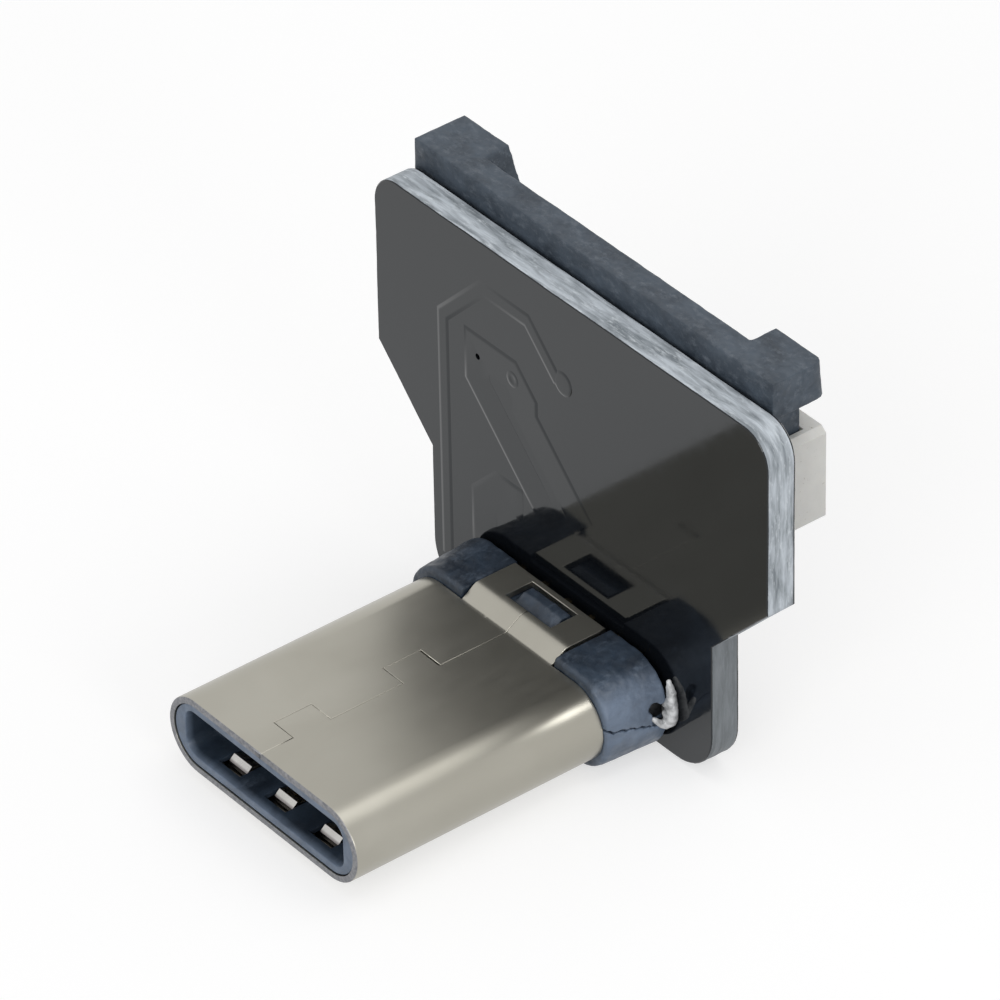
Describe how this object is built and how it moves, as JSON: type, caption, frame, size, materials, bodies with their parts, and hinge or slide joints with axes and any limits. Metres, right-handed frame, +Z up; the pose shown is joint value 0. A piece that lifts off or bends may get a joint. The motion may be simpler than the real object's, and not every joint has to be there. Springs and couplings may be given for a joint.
{
  "type": "right-angle usb-c plug",
  "caption": "Board-mounted plug standing square to a T-shaped board, with a slide-lock flat-cable connector on the board's back.",
  "frame": {"origin": "centre of the plug's section, in the plane where its shell meets the rear housing", "axes": "-Y out of the plug's mouth, +Z up the board towards the cable slot, +X across the plug and board"},
  "size_m": [0.0166, 0.0136, 0.0134],
  "materials": {
    "shell_steel": "satin nickel-plated stainless sheet",
    "spring_steel": "stamped spring steel",
    "contact_metal": "gold-plated copper alloy",
    "slate_plastic": "moulded slate-black plastic",
    "lock_plastic": "moulded slate-black plastic",
    "board_mask": "glass-fibre board with glossy black mask",
    "track_mask": "copper under glossy black mask",
    "solder": "bright tin solder",
    "ivory_plastic": "moulded ivory plastic",
    "resistor_ceramic": "glazed chip resistor"
  },
  "bodies": {
    "adapter": {"plug_shell": "shell_steel", "plug_insulator": "slate_plastic", "upper_ground_spring": "spring_steel", "lower_ground_spring": "spring_steel", "upper_contacts": "contact_metal", "lower_contacts": "contact_metal", "latch_plate": "spring_steel", "upper_rear_housing": "slate_plastic", "lower_rear_housing": "slate_plastic", "circuit_board": "board_mask", "front_tracks": "track_mask", "plug_solder": "solder", "leg_solder": "solder", "connector_rear": "ivory_plastic", "connector_floor": "ivory_plastic", "connector_roof": "ivory_plastic", "connector_ends": "ivory_plastic", "connector_contacts": "contact_metal", "connector_anchors": "solder", "connector_solder": "solder", "back_pads": "solder", "resistor_body": "resistor_ceramic", "resistor_caps": "solder", "resistor_solder": "solder"},
    "lock": {"lock_slider": "lock_plastic"}
  },
  "joints": [
    {"name": "lock_slide", "type": "slide", "parent": "adapter", "child": "lock", "axis": [0, 0, 1], "range_m": [-0.001, 0]}
  ]
}
